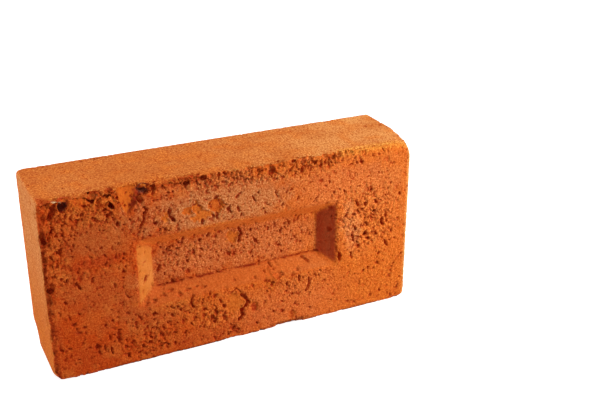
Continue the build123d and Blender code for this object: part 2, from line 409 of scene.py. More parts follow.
# Pits on the bed, above the frog and at both sides of it.
press(bed, (
    (15, 115.6, 4.6, 7.2, 22, 1.5), (8.3, 112.5, 3, 10.5, 27, 1.4), (27, 113.5, 2.6, 3, -30, 1.2),
    (31.5, 116.5, 3, 4, 0, 1.5), (34, 119, 2, 2.4, 0, 1.3), (40, 118, 4, 2, -20, 1.5),
    (43, 111, 2.2, 6, -35, 2.4), (38.5, 108.5, 1.8, 5, 62, 1.5), (40, 105.2, 2, 2.2, 0, 1.5),
    (43, 106, 1.5, 2, 0, 1.2), (33.5, 103, 2.6, 6.4, -55, 0.8), (45.8, 98, 2, 4, 5, 1.9),
    (35, 96.5, 1.6, 1.6, 0, 1.1), (21.8, 97, 1.1, 2.6, 0, 1), (19, 89.7, 2, 1.6, 40, 1),
    (10, 87, 4, 3.6, 0, 1.8), (28, 85, 1.6, 1, 0, 0.7), (13.5, 104, 1.8, 2.2, 0, 1.2),
    (7, 101, 1.6, 4.5, 35, 1.5), (7, 106, 1.6, 1.6, 0, 1.2), (2.8, 95, 3, 3.8, 0, 1.4),
    (14.5, 93, 1, 3, -20, 0.8), (8.5, 78.5, 1.4, 3, 0, 1), (5.5, 78.5, 1.2, 2.2, 0, 0.9),
    (10, 69, 2.3, 2.4, 0, 1.2), (19.2, 63, 1.8, 7, -28, 1.5), (47.5, 66.5, 1.8, 3, 10, 1.3),
    (49, 69.5, 1.4, 2.2, 40, 1), (47.8, 75, 1.5, 1.6, 0, 1), (48.5, 78, 1.3, 2.4, 20, 1),
    (31.5, 77.7, 1.6, 1.1, 0, 0.6), (3, 63, 3.2, 4, 0, 1.4), (16, 109, 1.6, 3, 10, 1.1),
    (18.5, 107.5, 1.2, 3, 10, 1), (22, 103, 1.5, 2.2, 0, 0.9), (25.5, 108, 2, 2.4, 0, 1.1),
    (25.4, 105, 1.4, 1.8, 0, 1), (35, 112, 2.2, 1.6, 0, 1), (31.3, 107.3, 1.6, 1.1, 0, 0.8),
    (40, 100.5, 1.1, 1.6, 0, 0.8), (6, 83.5, 1.2, 5, -25, 1), (4.6, 85, 1.2, 2, 0, 1),
    (11.5, 88.8, 1.6, 1.2, 0, 0.9), (69.4, 117.5, 1.6, 5, 4, 1.4), (68.8, 113.5, 1.5, 3, 20, 1.3),
    (78.3, 112.5, 1.8, 1.8, 0, 1.2), (81.3, 112.5, 1.9, 1.6, 0, 1.1), (82, 116.5, 2, 2.6, 0, 1.2),
    (76.5, 116, 1.5, 2.2, 0, 1), (87.5, 117, 1.6, 4.2, 0, 1.5), (90.2, 116.6, 2.8, 3.4, 10, 1.8),
    (89.5, 113.8, 1.3, 3, 5, 1.6), (96.7, 116, 1.3, 6, -24, 1.2), (99.5, 118, 2, 4, 0, 1.4),
    (69, 108.8, 1.2, 1.3, 0, 0.8), (79.5, 108.5, 1.3, 1.1, 0, 0.8), (70.5, 104, 1.1, 1.4, 0, 0.8),
    (80, 104, 1.3, 1.1, 0, 0.8), (53.7, 99.5, 1.4, 2.2, -30, 1.2),
    (53.5, 92.8, 1.2, 2.2, -40, 0.9), (69.3, 93.8, 2.5, 3.4, 0, 2), (71.5, 89, 1.6, 2, 20, 1),
    (75, 88.5, 1.6, 2.6, 0, 1.1), (77.3, 87.6, 1.5, 2, 0, 1.1), (83, 86.5, 1.2, 3.6, 60, 1),
    (61.3, 90, 1.6, 1.1, 0, 1), (64.8, 86.5, 2.1, 1.9, 0, 1.2), (57.5, 89.5, 1, 4, 0, 0.6),
    (94.6, 101.2, 3, 1.4, -10, 1.4), (97.6, 100.2, 1.5, 2.6, -25, 1.4),
    (99.3, 88.8, 1.9, 4.6, 8, 2), (102.5, 117.6, 4, 3, 0, 1.2), (104.6, 116, 1.4, 1.8, 0, 1),
    (111, 117.5, 1.3, 4.2, 6, 1.3), (115.5, 118, 2, 3, 0, 1.2), (116, 115.4, 1.2, 1.6, 0, 1),
    (120, 114.5, 1.6, 1.6, 0, 1.2), (123.5, 114, 1.1, 2.1, 0, 1.1), (122, 117.2, 1.5, 3, 0, 1.1),
    (113.3, 113.2, 2, 1.4, 0, 1.1), (108.3, 111.5, 1.4, 1.4, 0, 1.2),
    (102, 112, 1.8, 2.4, 30, 0.9), (103.5, 107.5, 2.6, 1.1, -10, 0.9),
    (133, 116.5, 1.7, 1.9, 0, 1.1), (138, 115.4, 2.6, 2.2, 0, 1.3), (137.5, 113, 1.7, 1.4, 0, 1.5),
    (132.5, 112, 1.8, 2, 0, 1), (146.5, 114, 4.6, 4.8, 20, 1.4), (102.3, 103.3, 1.3, 1.6, 0, 1),
    (108.8, 103.2, 3.2, 2.8, -20, 1.9), (111.2, 99.5, 1.2, 6, -12, 1.8),
    (105.5, 98, 1.2, 3.2, -10, 1.6), (117, 94.5, 3.4, 3.6, 0, 1.5),
    (118.3, 92.2, 1.3, 2.2, -20, 1.4), (123.5, 93.5, 1.8, 2.4, 0, 1.3),
    (116.7, 102.8, 1.1, 1.4, 0, 0.9), (123.2, 102, 2, 4.4, 25, 1.1), (125, 103.2, 1.4, 1.4, 0, 1),
    (117.7, 106.3, 0.9, 1.9, 0, 0.9), (106.5, 91.5, 1.8, 3, 0, 1.5), (104, 90.3, 1.6, 1.1, 0, 1.2),
    (109.4, 90.5, 1.4, 4.6, 0, 1.6), (108.4, 93.2, 2.4, 1.1, 0, 1.2),
    (125.3, 88.5, 1.1, 3.2, 15, 1.1), (116.7, 86.8, 1.7, 1.1, 0, 0.9),
    (113.3, 88, 0.9, 1.6, 0, 0.8), (137.3, 101.3, 1.8, 1.9, 0, 1.3),
    (134.3, 98, 1.2, 4.6, -20, 1.3), (140.7, 90, 1.5, 1.4, 0, 1), (142, 86.5, 1.2, 2.6, 0, 1.1),
    (143.6, 92, 0.8, 4.2, -65, 0.7), (149.8, 98.4, 1.3, 4.2, -8, 1.2),
    (154.5, 116.5, 2, 2.6, -20, 1), (161, 114, 1.2, 6, 38, 1.1), (163, 118, 1, 3, -30, 0.9),
    (168, 110.8, 2.4, 3.4, 30, 1.8), (167, 106.5, 1, 2.2, 0, 0.8), (174.3, 111, 1.9, 1.9, 0, 1.1),
    (173, 117, 1.6, 2, 0, 0.9), (177.6, 114.4, 2.1, 3.2, 15, 1.7), (182, 112, 1.2, 2.8, 25, 1.3),
    (185, 114.5, 2, 3.6, 0, 1.1), (187, 115.2, 1.2, 2.4, 0, 0.9), (191.2, 116, 1.5, 4.2, 0, 1.3),
    (189.4, 113, 1.3, 1.8, 0, 1), (192, 112.4, 1.4, 1.6, 0, 1), (190, 110.9, 1.1, 1.1, 0, 1),
    (155, 101, 1.4, 1.4, 0, 1), (157, 98, 1.9, 1.7, 0, 1.2), (158.9, 97.2, 1.7, 1.6, 0, 1.3),
    (160.5, 99.5, 0.9, 2.4, 40, 0.9), (151, 96.2, 1.2, 1.6, 0, 1), (154.3, 95.3, 0.9, 1.1, 0, 0.7),
    (165, 92.5, 1.2, 4.2, 25, 1.1), (154, 90, 1.1, 3.6, 30, 1), (178.5, 90, 1.2, 6.4, 38, 1.3),
    (175.7, 102.3, 1.1, 1.1, 0, 0.8), (173.7, 105, 0.8, 1.3, 0, 0.7), (182, 102, 3, 2, 0, 0.6),
    (188, 100, 1.6, 2.6, -20, 1), (192, 92, 1.8, 3, 0, 1.3), (196, 93, 1.2, 2.2, -35, 1),
    (199.7, 91, 1.3, 3, -20, 1.1), (204, 109.4, 2.8, 1.3, 10, 1), (208.3, 110.3, 1.4, 1.4, 0, 1.1),
    (212, 109.8, 2.1, 3.8, -22, 1.6), (220.5, 113, 1.2, 1.7, 0, 0.9), (225, 113, 1, 1.6, 0, 0.9),
    (228, 116, 1.1, 4.2, -35, 1.1), (232, 114, 0.9, 2.6, 0, 0.8),
    (234.6, 105.3, 0.9, 1.9, -30, 0.9), (237, 105.3, 0.8, 1.4, 30, 0.8),
    (208.8, 101.3, 0.9, 2, 20, 0.8), (217, 98.5, 2.6, 1.1, 0, 0.7), (214, 94.3, 1.1, 2.6, 60, 0.7),
    (204, 92.5, 1.2, 2, 0, 0.8), (220.2, 88, 1.9, 3.2, 10, 1.6), (225.3, 100, 0.9, 1.6, 0, 0.7),
    (209.5, 80.2, 1.9, 5.4, -25, 2), (216, 78.6, 2.4, 4.2, 0, 2),
    (213.6, 75.6, 2.6, 1.5, -10, 1.6), (223, 72.3, 2.9, 2.8, 0, 2), (224, 79, 2.4, 5, -35, 1),
    (231.8, 82.2, 2.4, 1.2, 10, 0.9), (231.2, 77.5, 0.7, 6.5, 0, 0.6),
    (242.3, 81.7, 2, 2.6, 0, 1.3), (246.5, 82.5, 1.4, 2.6, 10, 0.9), (207.5, 72.5, 3, 1.6, 0, 1.3),
    (201.5, 73.5, 1.8, 3.2, 20, 1.4), (204.3, 69, 1.6, 1.3, 0, 1.2),
    (210.5, 74.5, 1.2, 4.2, -35, 1.2), (208.5, 62, 2, 3.8, -25, 1.5), (213, 62.5, 0.9, 3.2, 0, 1),
    (217, 64, 1.5, 5.2, -38, 1.3), (221.3, 66.5, 1.8, 4.2, -25, 1.4),
    (232.3, 67, 1.8, 4.2, 0, 1.6), (229.5, 62.5, 3.4, 4.8, 0, 2), (233.2, 63, 1.3, 2.6, 0, 1.2),
    (241.8, 63.5, 1.8, 2, 0, 0.9),
))

# Pits on the bed, level with the frog's lower wall and below it.
press(bed, (
    (10.5, 53.5, 2, 2.5, -30, 1.2), (3, 47.5, 2, 2, 0, 1.2), (12.3, 42.5, 1.2, 3, 0, 1),
    (18.5, 43.5, 2.5, 1.5, 0, 1.1), (14, 37.5, 3, 2.5, 0, 1.2), (15.8, 34, 1.5, 2.5, 0, 1.1),
    (20.5, 34, 3, 1.5, 0, 1.1), (16.5, 31, 3.5, 2, 0, 0.8), (31.3, 38, 1.2, 1.2, 0, 0.9),
    (38.3, 33.8, 1.5, 3, -30, 1.1), (33.5, 32, 2, 3, 30, 1.1), (41.3, 58, 1, 3.5, 0, 1),
    (40.8, 50.5, 0.8, 2, 0, 0.8), (49, 48, 1.2, 4, -25, 1.1), (43.3, 45, 1.2, 1.4, 0, 0.9),
    (38, 42, 1.2, 1.2, 0, 0.8), (10.5, 21.5, 2.5, 2, 0, 1.3), (5.5, 21.5, 3, 2.5, 0, 1.3),
    (18.8, 23.5, 1, 1.5, 0, 0.8), (22.5, 19, 2, 1.2, 0, 0.9), (27.3, 18.3, 3, 4, 0, 1.8),
    (28.3, 14, 1.3, 4, -10, 1.4), (32, 17, 1.1, 5, 0, 1.2), (36.3, 13, 1.3, 7, -5, 1.3),
    (35.5, 23, 1.2, 4, 0, 1), (38.3, 24, 1.5, 1.5, 0, 1), (41.3, 22, 2.2, 8, 0, 1.6),
    (42, 26.5, 3, 1.1, 0, 1.5), (44, 8, 2, 2, 0, 1.2), (46.5, 6.5, 2.8, 5, 0, 1.5),
    (45.5, 13.5, 2.5, 3, 0, 1), (24, 6.5, 1, 1.5, 0, 0.8), (15, 12.5, 2, 1, 0, 0.8),
    (65, 32.5, 3, 3.6, -30, 1.8), (64.3, 28.3, 1.5, 1.5, 0, 1.1), (62, 36, 0.8, 3, -30, 0.7),
    (55.5, 31.5, 1.6, 4, -30, 1.3), (52.5, 28.5, 2, 4, 0, 1), (58, 27, 2, 2, 0, 1),
    (58.5, 22.5, 4, 2, 0, 0.6), (63, 22, 2, 1, 0, 0.8), (65.3, 22.5, 1.2, 1.4, 0, 0.8),
    (58, 18.7, 3.5, 1, 0, 0.9), (61.5, 15.5, 2.2, 2.5, 0, 1.4), (60.5, 12.5, 1.5, 3, 10, 1.5),
    (56.5, 10.5, 2, 2.5, 0, 1.5), (68.8, 16, 3, 3.5, 0, 1.6), (66.8, 7.3, 1.8, 2.5, 0, 1.2),
    (68.5, 7.5, 1.2, 1.6, 0, 1), (72.8, 7.5, 1.8, 4, -25, 1.4), (77, 7.7, 2.5, 1.5, 0, 1.1),
    (53.5, 6.5, 3, 2, 0, 1.1), (62.5, 5.5, 2.5, 1.2, 0, 1), (76.5, 28.5, 2, 3, -35, 1.3),
    (74.5, 23.8, 1.3, 2, 0, 1), (80.8, 33, 1.5, 2.6, -55, 1.2), (78, 33, 1.2, 1.4, 0, 0.9),
    (73.3, 35.5, 1.2, 1.2, 0, 0.9), (77, 15.3, 1.6, 3, -60, 1.2), (86.5, 28.5, 3, 1, 0, 1),
    (83.5, 22, 2, 3, 0, 1.1), (89, 19, 1.3, 5, -25, 1.3), (94.5, 15, 1.5, 2.5, 0, 1),
    (98.5, 26.5, 2.5, 3.6, -50, 1.6), (98, 22.5, 3.5, 2.5, 0, 0.7), (97.5, 34, 1.5, 2, 0, 1),
    (102.7, 37.5, 1.5, 2.6, 0, 1.3), (106, 34.5, 3, 3, 0, 1.3), (109.5, 30, 1.2, 5, -25, 1.2),
    (112, 26, 2.2, 4, -30, 1.3), (106.5, 22, 2.5, 3, 0, 1.6), (103.5, 19.5, 3, 5, 0, 1.2),
    (105, 16, 2, 2.4, 0, 1.2), (112.5, 17, 3, 4, 0, 1.1), (113, 38, 3, 4, 0, 0.5),
    (133, 19, 4.6, 6.6, 0, 1), (132.5, 36, 2.8, 2.8, 0, 1), (142, 38, 2.4, 3, 20, 1.4),
    (144.5, 36.5, 1.8, 3, 10, 1.3), (146, 33, 2, 2.8, 0, 1.3), (147.5, 35, 1.4, 2, 0, 1.1),
    (143, 42, 2, 2.2, 0, 1.2), (148.3, 44.5, 1.5, 3.6, -25, 1.5), (142.5, 29.7, 1.5, 1.5, 0, 1),
    (136, 56, 0.8, 1.5, 0, 0.7), (135, 7, 1.4, 2.6, -35, 1.4), (118, 8, 3, 2.4, 0, 1.2),
    (121.5, 5.5, 2.4, 2, 0, 1.2), (116, 5, 2, 1.8, 0, 1.1), (142.5, 8, 1.4, 1.4, 0, 1),
    (147, 13, 2, 2, 0, 1.1), (161.5, 37.5, 2.2, 3.2, 20, 1.3), (157.3, 32, 1.8, 4, 0, 1.4),
    (166.3, 33.5, 1.5, 6, -8, 1.4), (169.3, 33.5, 1.5, 2, 0, 1), (178.5, 33.5, 1.1, 4, 0, 1.2),
    (182, 35.7, 1.5, 2, 0, 1.2), (181, 32.7, 1.2, 1.4, 0, 1), (185.5, 27.7, 1.2, 1.4, 0, 0.9),
    (188.2, 23.5, 1.2, 1.2, 0, 0.9), (196, 44, 1.3, 7, -8, 1.6), (156.7, 26, 1.4, 1.8, 0, 1),
    (161, 23, 2, 3, 0, 1.2), (164.5, 22.8, 1.3, 2.5, 0, 1), (159, 21.5, 1.3, 1.6, 0, 1),
    (153, 19.5, 1.5, 3, -55, 1), (163, 14.7, 1.8, 2.5, 0, 1.3), (153.5, 12, 2.5, 3, 0, 1.2),
    (161, 7.5, 3.6, 7, 0, 0.7), (169.5, 13, 1.2, 1.4, 0, 0.8), (174.5, 9.5, 1.8, 1.5, 0, 1.2),
    (190.7, 11, 1.2, 1.4, 0, 0.9), (196.8, 43, 2.2, 7, -6, 2.6), (207.2, 54.5, 2, 7, -20, 1.5),
    (216.5, 56.5, 3.5, 3.5, 0, 2), (218.5, 52.5, 2.8, 4, -30, 1.8), (224.8, 55.5, 2, 4, -25, 2),
    (211.3, 48, 2, 3, 0, 1.2), (205.7, 42.5, 1.5, 4, 0, 1.4), (206.5, 40.5, 1.4, 1.6, 0, 1),
    (228, 39.2, 2.2, 2.2, 0, 1.2), (227, 31.8, 2.8, 3, 0, 1.3), (219.7, 29.5, 1.3, 2.5, 0, 1),
    (216, 28, 2, 2, 0, 0.9), (233.3, 45.5, 2, 6, -25, 1.6), (237, 54.5, 2.5, 3, 0, 1.2),
    (236, 47.5, 1.5, 1.5, 0, 1), (240, 48.5, 1.4, 1.6, 0, 1), (240.3, 28.5, 1.5, 2.6, 15, 1.2),
    (239.3, 26, 1.4, 2.2, 10, 1.2), (238.3, 23.5, 1.4, 2.2, 15, 1.2),
    (237.5, 19.5, 1.3, 3, 5, 1.1), (245.7, 35, 1.4, 1.6, 0, 0.9), (222.3, 7.5, 1.4, 3, 0, 1),
    (229.7, 9, 1.2, 4, -25, 1.1), (244, 9.5, 1.4, 4, 25, 1), (238.5, 3, 1, 4, 25, 0.9),
    (202, 10, 1.4, 1.4, 0, 0.9), (204, 7, 2, 2, 0, 1),
))

# Pits in the frog: on its floor, along the valley below it and on its left wall.
press(bed, (
    (74.1, 72.4, 2, 1.5, 0, 1), (78.4, 69.3, 1.3, 3, 0, 1.3), (84.8, 69.1, 2.2, 1.8, 0, 1.5),
    (80.2, 71.2, 1.6, 1.6, 0, 1.1), (82.4, 71.4, 1.4, 1.8, 0, 1.1), (81, 68.2, 1.6, 1.2, 0, 1),
    (86.3, 72.9, 1.3, 3, -30, 1), (79.7, 65.7, 1.5, 2, 0, 1), (72.5, 58.1, 2, 6, 35, 1.5),
    (91.9, 58.6, 1.5, 3, 30, 1.1), (90.9, 61.7, 1.3, 1.6, 0, 0.9), (96, 64.2, 2.6, 3.6, 20, 1),
    (100.1, 71.9, 2, 2.5, 0, 1.2), (101.6, 64.7, 1.2, 5, -40, 1), (105.7, 73.9, 1.3, 4, 30, 1.1),
    (106, 65.7, 1.4, 1.6, 0, 1), (111.3, 60.9, 1.6, 1.8, 0, 1.1), (112.8, 57.6, 1, 3.5, -15, 1),
    (120, 58, 2.6, 3, 0, 1), (123.5, 56.5, 2.4, 2.4, 0, 1), (135.6, 71.9, 1.6, 3.2, 15, 1.3),
    (133.2, 68.8, 1.3, 1.6, 0, 0.9), (139.3, 62.7, 2, 3, 0, 1.3), (138.3, 58.6, 1, 3, 0, 1),
    (143.4, 64.7, 1.2, 1.4, 0, 0.9), (131, 59.6, 1.4, 1.6, 0, 1), (135.8, 62.7, 1.2, 1.4, 0, 0.9),
    (152.6, 71.9, 1.5, 1.5, 0, 1), (157.2, 66.8, 1.3, 5, 15, 1.3),
    (163.1, 71.3, 1.2, 3.6, -15, 1.2), (164.8, 64.7, 1.3, 1.4, 0, 1),
    (156.2, 61.7, 1.2, 1.4, 0, 0.9), (161.5, 62.7, 1.3, 1.6, 0, 1),
    (171.5, 65.7, 1.2, 1.4, 0, 0.9), (173, 62, 1.3, 1.9, 0, 1), (175.9, 61.1, 1.2, 1.3, 0, 0.9),
    (178.6, 59.1, 1.5, 1.5, 0, 1), (165.4, 58.6, 2.5, 1, 0, 1), (155.7, 56.3, 2.5, 3, 0, 1.3),
    (172, 55.5, 2, 1.5, 0, 1), (88.5, 54, 2.4, 2.6, 0, 1), (91.5, 51.6, 2.4, 2.4, 0, 1),
    (136.8, 52, 1.3, 3, 0, 1), (157.7, 51.5, 1.5, 2.5, 0, 1), (162.8, 51.5, 1.3, 1.6, 0, 0.9),
    (76.1, 53, 1.5, 2.6, 0, 1.1), (80.2, 48.4, 1.6, 1.4, 0, 1), (74.6, 46, 3.4, 1.4, 0, 1.4),
    (77.1, 46.6, 2, 1.4, 0, 1.2), (81.2, 46.9, 2.6, 2, 0, 1.4), (86.8, 46.6, 1.8, 1.2, 0, 1.1),
    (111.3, 46.8, 1.8, 1.3, 0, 1.1), (115.4, 46.9, 1.8, 1.3, 0, 1.1),
    (140.9, 46.6, 2.6, 2.8, 0, 1.3), (149.5, 42, 1.4, 1.6, 0, 1), (62.4, 55.6, 3.2, 4.4, 20, 1),
    (62.6, 55.6, 1.8, 2.6, 20, 2.2),
))


def score(facing, width, depth, *path):
    """Breaks a crooked line into one side, from point to point."""
    for (u, v), (next_u, next_v) in zip(path, path[1:]):
        steps = round(hypot(next_u - u, next_v - v) / width * 2) + 1
        spots = []
        for i in range(steps + 1):
            at = u + (next_u - u) * i / steps, v + (next_v - v) * i / steps
            spots.append((*at, width, width * 1.3, 0, depth))
        press(facing, spots)


# Cracks and broken lines on the bed and in the frog, each as (width, depth, then its places).
for width, depth, *path in (
    (1.4, 1.9, (63.3, 105.5), (64, 103.5), (62.5, 101.5), (62.3, 97.5), (60.5, 95.3), (59.7, 92.5)),
    (1.9, 2.2, (78.3, 100.5), (78.6, 96.5), (81.2, 93.5)),
    (1.5, 1.7, (91.5, 38.5), (90.5, 36.5), (89.3, 33.5), (91.3, 30)),
    (1.0, 0.9, (117, 34.5), (120.8, 37), (123.5, 34)),
    (2.0, 2.4, (124.5, 30.5), (126.5, 29), (128, 26.5), (129.5, 24.5), (127, 22.5), (124.5, 20)),
    (2.4, 3.0, (124.5, 20), (123.8, 18), (125.3, 16), (122.3, 13.5)),
    (1.4, 1.4, (173.3, 32), (173.8, 27.5), (172.5, 25), (171.5, 23)),
    (1.3, 1.8, (172.3, 45), (175.6, 42.4)),
    (1.9, 1.9, (127.1, 74.9), (128.1, 72.9), (129.1, 70.8), (127.9, 68.8), (127.1, 65.7)),
    (1.0, 1.0, (137.8, 65.2), (140.9, 60.6)),
    (0.8, 0.8, (72, 46.3), (184, 46.6)),
):
    score(bed, width, depth, *path)

# A shallow mark across the upper side.
score(upper, 1.8, 0.30, (151, 60), (154.5, 36), (152, 8))

# Chips that left a broad, flat floor of fresh clay.
before_chips = hollow.copy()
press(bed, (
    (90, 98, 6, 6, 0, 1.2), (96, 98.5, 6, 8, 10, 1.1), (109, 98.5, 10, 10, 0, 1.4),
    (120, 26, 13, 17, 20, 0.8), (133, 20, 6, 8, 0, 0.8), (76, 96.5, 4.5, 6.5, 20, 0.7),
    (123, 69, 8.5, 9, 0, 0.8), (100, 93, 15, 7, -12, 0.6), (161, 7.5, 5, 7, 0, 0.8),
    (145, 37, 8, 13, 0, 0.6),
))
fresh = np.clip((hollow - before_chips) / 0.6, 0, 1)

# The upper side: struck smooth, with a few small pits and the nibbled rim above the frog's bed.
press(upper, (
    (19.5, 17, 1.5, 1.5, 0, 0.9), (64.5, 27, 2.2, 1.5, 0, 1), (71.5, 23, 2.2, 1.1, 0, 0.9),
    (81.5, 40, 1.3, 1.3, 0, 0.8), (85.5, 17, 1.3, 1.3, 0, 0.8), (214, 57, 1.6, 1.6, 0, 0.9),
    (235, 36, 2, 2, 0, 0.8), (41, 55.6, 6, 1.8, 0, 1.6), (48, 55.2, 6, 1.6, 0, 1.5),
    (44, 5.5, 4, 4.5, 0, 1.2), (61, 3.5, 4, 6.5, 20, 1.8), (66.5, 3, 3.2, 2, 0, 1.4),
    (74, 8, 1.5, 1.3, 0, 0.9), (72.5, 4.6, 4.4, 1.4, 0, 1.3), (78.3, 6.6, 5, 1.4, 0, 1.4),
    (83, 3.5, 2.8, 2.4, 0, 1.3), (89, 5, 4.5, 1.6, 0, 1.3), (94.5, 5.5, 4, 1.3, 0, 1.1),
    (99.5, 4.5, 4.5, 1.6, 0, 1.3), (151.5, 2, 6.5, 3.2, 0, 1.5), (147, 8, 2.6, 1.2, 0, 0.9),
    (166, 2.5, 2.6, 2, 0, 1.2), (33, 6, 2.6, 2, 0, 1), (27, 7.5, 1.6, 1.4, 0, 0.8),
    (121, 4.5, 2.4, 1.6, 0, 1), (135, 3.5, 2.6, 2, 0, 1.2),
))

# The left end: a few pits, most of them along the arris of the bed with the frog.
press(left_end, (
    (16, 114.5, 6, 1.6, 40, 0.8), (6.5, 110, 6, 2.4, -40, 1.2), (7, 40, 3, 9, 10, 0.8),
    (4, 96, 2.4, 6, 0, 1.1), (3.5, 80, 2, 5, 0, 1), (4, 63, 2.4, 4, 0, 1.1),
    (3.5, 30, 2, 6, 0, 0.9),
))


def strew(facing, number, box, depth):
    """Sinks small pits at random into part of one side, but not into the frog's lower wall."""
    smallest, wider_by = 0.7, 1.1
    lean, lean_spread = 20, 30
    u, v, far_u, far_v = box
    spots = []
    for _ in range(number):
        across = smallest + wider_by * random.random() ** 2
        at = random.uniform(u, far_u), random.uniform(v, far_v)
        along = across * random.uniform(1.0, 2.4)
        turn = random.normal(lean, lean_spread)
        spot = (*at, across, along, turn, depth * random.uniform(0.5, 1.1))
        rubbed_smooth = facing is bed and 56 < at[0] < 196 and 37 < at[1] < 46
        if not rubbed_smooth:
            spots.append(spot)
    press(facing, spots)


for facing, number, box, depth in (
    (bed, 900, (0, 0, 250, 120), 0.7),
    (bed, 160, (0, 62, 60, 120), 0.9),
    (bed, 120, (55, 88, 130, 118), 0.8),
    (bed, 120, (67, 47, 183, 77), 0.9),
    (bed, 70, (193, 40, 240, 92), 0.7),
    (bed, 160, (45, 3, 120, 40), 0.9),
    (bed, 120, (100, 108, 215, 119), 1.1),
    (upper, 120, (0, 0, 250, 60), 0.4),
    (left_end, 60, (0, 0, 60, 120), 0.4),
    (right_end, 160, (0, 0, 60, 120), 0.8),
    (plain_bed, 500, (0, 0, 250, 120), 0.6),
    (under, 160, (0, 0, 250, 60), 0.6),
):
    strew(facing, number, box, depth)

# How deep the pits alone are, for their colour and painted shade.
pitted = hollow.copy()

# Crumbled arrises: grains that came away with handling, most of all above and left of the frog,
# where whole flakes are gone as well.
flaked_depth = 3.2
coarse = 0.55 * mottle(5.0, 3) + 0.3 * mottle(2.4, 4) + 0.25 * mottle(1.2, 5)


def crumble(distance, reach, depth, share):
    """Wears grains off near an arris. The share is how much of it is worn, from 0 to 1."""
    gone = np.clip((coarse + share * 1.2 - 0.6) / 0.5, 0, 1) * np.clip(1 - distance / reach, 0, 1)
    np.maximum(hollow, depth * gone, out=hollow)


def ramp(values, start, end):
    """Goes smoothly from 0 at the start to 1 at the end."""
    share = np.clip((values - start) / (end - start), 0, 1)
    return share * share * (3 - 2 * share)


from_right, below, ahead = long_mm - from_left, tall_mm - above, deep_mm - behind
off_upper_arris = np.hypot(behind, below)
broad = 0.7 * mottle(9.0, 31) + 0.3 * mottle(4.0, 32)
flaked = ramp(from_left, 112, 96) * ramp(from_left, -2, 6)
crumble(off_upper_arris, 7.0, 2.2 * flaked, 0.62)
hollow += flaked_depth * flaked * ramp(broad, -0.25, 0.35) * ramp(off_upper_arris, 9.0, 0.5)
crumble(off_upper_arris, 5.0, 1.6 * ramp(from_left, 96, 112) * ramp(from_left, 205, 190), 0.5)
crumble(off_upper_arris, 4.0, 0.7 * ramp(from_left, 190, 205), 0.45)
for one_side, other_side, reach, depth, share in (
    (behind, from_left, 5.0, 1.5, 0.6),
    (behind, from_right, 2.5, 0.3, 0.4),
    (behind, above, 3.0, 0.7, 0.4),
    (from_left, below, 3.0, 0.5, 0.4),
    (ahead, below, 3.0, 0.7, 0.4),
    (ahead, from_left, 3.0, 0.4, 0.4),
    (ahead, from_right, 3.0, 0.6, 0.4),
    (ahead, above, 4.0, 1.0, 0.45),
    (from_right, below, 4.0, 0.9, 0.45),
    (from_right, above, 4.0, 1.0, 0.45),
    (from_left, above, 3.0, 0.6, 0.4),
):
    crumble(np.hypot(one_side, other_side), reach, depth, share)


def patches(facing, *spots):
    """A field of soft-edged patches on one side. Each is (u, v, across, along, strength)."""
    edge, edge_ragged, edge_width = 1.35, 0.45, 0.75
    field = np.zeros(count)
    seen, u, v, squarely = facing
    for middle_u, middle_v, across, along, strength in spots:
        radius = np.hypot((u - middle_u) / across, (v - middle_v) / along) * 2
        inside = np.clip((edge - radius - edge_ragged * coarse[seen]) / edge_width, 0, 1) * squarely
        field[seen] = np.maximum(field[seen], strength * inside)
    return field


# Rough ground: where the sand and the skin are gone, most of all right of the frog.
rough = patches(
    bed,
    (216, 66, 44, 46, 1.0), (17, 106, 26, 18, 0.8), (36, 108, 24, 20, 0.8), (75, 88.5, 14, 7, 0.7),
    (105, 20, 16, 22, 0.8), (125, 60, 20, 12, 0.5), (145, 36, 12, 16, 0.8), (8, 85, 14, 60, 0.6),
    (118, 7, 14, 10, 0.8), (65, 15, 44, 22, 0.5), (150, 114, 110, 10, 0.8), (168, 30, 44, 20, 0.5),
    (89, 66, 34, 22, 0.5), (150, 62, 60, 26, 0.3), (88, 33, 30, 14, 0.5), (225, 25, 44, 40, 0.3),
)

# The frog's lower wall was rubbed smooth.
lower_wall_alone = ramp(above, 36.5, 38.5) * ramp(above, 48, 46)
lower_wall_alone *= ramp(abs(from_left - 126), 71, 68)
rough *= 1 - lower_wall_alone

# Lumps and crumbs on the rough ground, then the bed's slow swell, the wear at the right end of the
# upper arris, and the sand. The foot stays flat, so that the brick stands on it.
lump_height = 1.4
crumb_height = 0.6
swell_height = 0.35
arris_wear = 1.3
sand_depth = 0.04
more_sand_on_bed = 0.14
lumps = np.clip(abs(mottle(3.0, 6, along=3.8, lean=25) + 0.3 * mottle(1.2, 7)) / 0.45, 0, 1)
crumbs = np.clip(abs(mottle(1.5, 8, along=2.0, lean=25) + 0.3 * mottle(0.8, 12)) / 0.45, 0, 1)
uneven = lump_height * (1 - lumps) ** 2 + crumb_height * (1 - crumbs) ** 2
hollow += rough * (uneven + 0.25 * mottle(2.0, 13))
bed_side = np.clip(-outward[:, 1] * 2, 0, 1)
swell = np.clip(0.5 + 0.5 * mottle(22, 9) + 0.3 * mottle(9, 10), 0, 1.3)
off_the_floor = ramp(above, 0.5, 6.0)
inner_skin = ramp(np.minimum.reduce([from_left, from_right, below, above]), 0, 10)
hollow += swell_height * swell * off_the_floor * bed_side * inner_skin
hollow += arris_wear * ramp(from_left, 196, 214) * ramp(off_upper_arris, 6.5, 0)
sandy = sand_depth + more_sand_on_bed * bed_side
hollow += sandy * np.clip(mottle(1.1, 11) + 0.2, 0, 1) * off_the_floor

# The skin is sunk where it is hollow, and the corners are knocked off.
sunk = skin - outward * hollow[:, None] / 1000


def knock(corner, inwards, reaches, depth):
    """Rounds a corner of the brick off, as far as it reaches along, behind and above."""
    away = np.sqrt((((places - np.array(corner)) / np.array(reaches)) ** 2).sum(axis=1))
    sunk[:] += np.array(Vector(inwards).normalized()) * depth * ramp(away, 1, 0)[:, None] / 1000


